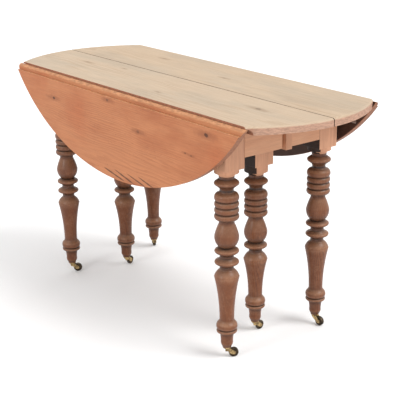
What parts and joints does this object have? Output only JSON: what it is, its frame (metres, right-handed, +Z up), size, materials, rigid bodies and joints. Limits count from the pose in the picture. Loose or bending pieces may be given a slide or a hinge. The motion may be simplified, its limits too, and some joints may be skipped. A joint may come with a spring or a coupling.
{
  "type": "extending drop-leaf table",
  "caption": "Oval wooden table on turned legs with brass casters; two drop leaves hang from rule joints and the top parts along its middle to slide open.",
  "frame": {"origin": "on the floor, under the middle of the table", "axes": "+X along the table to its right end, -Y towards its front, +Z up"},
  "size_m": [1.328, 0.528, 0.74],
  "materials": {
    "top_wood": "dry bare wood",
    "front_leaf_wood": "worn stained pine",
    "back_leaf_wood": "dark stained pine",
    "rail_wood": "worn bare pine",
    "turned_wood": "worn stain and wax",
    "runner_wood": "planed hardwood",
    "brass": "aged brass",
    "wheel_brass": "dull brass",
    "steel": "dull steel"
  },
  "bodies": {
    "centre_frame": {"leg_middle_left": "turned_wood", "leg_middle_right": "turned_wood", "centre_runner_left": "runner_wood", "centre_runner_right": "runner_wood", "centre_beam": "runner_wood", "middle_caster_sockets": "brass"},
    "front_half": {"front_top": "top_wood", "front_rail": "rail_wood", "front_end_rail_left": "rail_wood", "leg_front_left": "turned_wood", "front_runner_left": "runner_wood", "front_end_rail_right": "rail_wood", "leg_front_right": "turned_wood", "front_runner_right": "runner_wood", "front_hinge_plates": "steel", "front_plate_screws": "steel", "front_glue_blocks": "runner_wood", "front_loper_guides": "runner_wood", "front_caster_sockets": "brass", "seam_dowels": "runner_wood"},
    "front_leaf": {"front_leaf": "front_leaf_wood", "front_hinge_flaps": "steel", "front_hinge_pins": "steel", "front_flap_screws": "steel"},
    "front_loper_left": {"front_loper_left": "runner_wood"},
    "front_loper_right": {"front_loper_right": "runner_wood"},
    "back_half": {"back_top": "top_wood", "back_rail": "rail_wood", "back_end_rail_left": "rail_wood", "leg_back_left": "turned_wood", "back_runner_left": "runner_wood", "back_end_rail_right": "rail_wood", "leg_back_right": "turned_wood", "back_runner_right": "runner_wood", "back_hinge_plates": "steel", "back_plate_screws": "steel", "back_glue_blocks": "runner_wood", "back_loper_guides": "runner_wood", "back_caster_sockets": "brass", "meeting_stile_left": "rail_wood", "meeting_stile_right": "rail_wood"},
    "back_leaf": {"back_leaf": "back_leaf_wood", "back_hinge_flaps": "steel", "back_hinge_pins": "steel", "back_flap_screws": "steel"},
    "back_loper_left": {"back_loper_left": "runner_wood"},
    "back_loper_right": {"back_loper_right": "runner_wood"},
    "caster_swivel_front_left": {"caster_fork_front_left": "brass"},
    "caster_roller_front_left": {"caster_wheel_front_left": "wheel_brass"},
    "caster_swivel_front_right": {"caster_fork_front_right": "brass"},
    "caster_roller_front_right": {"caster_wheel_front_right": "wheel_brass"},
    "caster_swivel_back_left": {"caster_fork_back_left": "brass"},
    "caster_roller_back_left": {"caster_wheel_back_left": "wheel_brass"},
    "caster_swivel_back_right": {"caster_fork_back_right": "brass"},
    "caster_roller_back_right": {"caster_wheel_back_right": "wheel_brass"},
    "caster_swivel_middle_left": {"caster_fork_middle_left": "brass"},
    "caster_roller_middle_left": {"caster_wheel_middle_left": "wheel_brass"},
    "caster_swivel_middle_right": {"caster_fork_middle_right": "brass"},
    "caster_roller_middle_right": {"caster_wheel_middle_right": "wheel_brass"}
  },
  "joints": [
    {"name": "front_slide", "type": "slide", "parent": "centre_frame", "child": "front_half", "axis": [0, -1, 0], "range_m": [0, 0.27]},
    {"name": "front_leaf_hinge", "type": "hinge", "parent": "front_half", "child": "front_leaf", "pos_m": [0, -0.241, 0.717], "axis": [-1, 0, 0], "range_deg": [0, 90]},
    {"name": "front_loper_left_slide", "type": "slide", "parent": "front_half", "child": "front_loper_left", "axis": [0, -1, 0], "range_m": [0, 0.021]},
    {"name": "front_loper_right_slide", "type": "slide", "parent": "front_half", "child": "front_loper_right", "axis": [0, -1, 0], "range_m": [0, 0.021]},
    {"name": "back_slide", "type": "slide", "parent": "centre_frame", "child": "back_half", "axis": [0, 1, 0], "range_m": [0, 0.27]},
    {"name": "back_leaf_hinge", "type": "hinge", "parent": "back_half", "child": "back_leaf", "pos_m": [0, 0.241, 0.717], "axis": [1, 0, 0], "range_deg": [0, 90]},
    {"name": "back_loper_left_slide", "type": "slide", "parent": "back_half", "child": "back_loper_left", "axis": [0, 1, 0], "range_m": [0, 0.021]},
    {"name": "back_loper_right_slide", "type": "slide", "parent": "back_half", "child": "back_loper_right", "axis": [0, 1, 0], "range_m": [0, 0.021]},
    {"name": "caster_turn_front_left", "type": "hinge", "parent": "front_half", "child": "caster_swivel_front_left", "pos_m": [-0.43, -0.18, 0.032], "axis": [0, 0, 1], "continuous": true},
    {"name": "caster_roll_front_left", "type": "hinge", "parent": "caster_swivel_front_left", "child": "caster_roller_front_left", "pos_m": [-0.41769, -0.16424, 0.0145], "axis": [0.788, -0.6157, 0], "continuous": true},
    {"name": "caster_turn_front_right", "type": "hinge", "parent": "front_half", "child": "caster_swivel_front_right", "pos_m": [0.43, -0.18, 0.032], "axis": [0, 0, 1], "continuous": true},
    {"name": "caster_roll_front_right", "type": "hinge", "parent": "caster_swivel_front_right", "child": "caster_roller_front_right", "pos_m": [0.44, -0.16268, 0.0145], "axis": [0.866, -0.5, 0], "continuous": true},
    {"name": "caster_turn_back_left", "type": "hinge", "parent": "back_half", "child": "caster_swivel_back_left", "pos_m": [-0.43, 0.18, 0.032], "axis": [0, 0, 1], "continuous": true},
    {"name": "caster_roll_back_left", "type": "hinge", "parent": "caster_swivel_back_left", "child": "caster_roller_back_left", "pos_m": [-0.44576, 0.19231, 0.0145], "axis": [0.6157, 0.788, 0], "continuous": true},
    {"name": "caster_turn_back_right", "type": "hinge", "parent": "back_half", "child": "caster_swivel_back_right", "pos_m": [0.43, 0.18, 0.032], "axis": [0, 0, 1], "continuous": true},
    {"name": "caster_roll_back_right", "type": "hinge", "parent": "caster_swivel_back_right", "child": "caster_roller_back_right", "pos_m": [0.44992, 0.18174, 0.0145], "axis": [0.0872, -0.9962, 0], "continuous": true},
    {"name": "caster_turn_middle_left", "type": "hinge", "parent": "centre_frame", "child": "caster_swivel_middle_left", "pos_m": [-0.35, 0, 0.032], "axis": [0, 0, 1], "continuous": true},
    {"name": "caster_roll_middle_left", "type": "hinge", "parent": "caster_swivel_middle_left", "child": "caster_roller_middle_left", "pos_m": [-0.35684, 0.01879, 0.0145], "axis": [0.9397, 0.342, 0], "continuous": true},
    {"name": "caster_turn_middle_right", "type": "hinge", "parent": "centre_frame", "child": "caster_swivel_middle_right", "pos_m": [0.35, 0, 0.032], "axis": [0, 0, 1], "continuous": true},
    {"name": "caster_roll_middle_right", "type": "hinge", "parent": "caster_swivel_middle_right", "child": "caster_roller_middle_right", "pos_m": [0.34826, 0.01992, 0.0145], "axis": [0.9962, 0.0872, 0], "continuous": true}
  ]
}
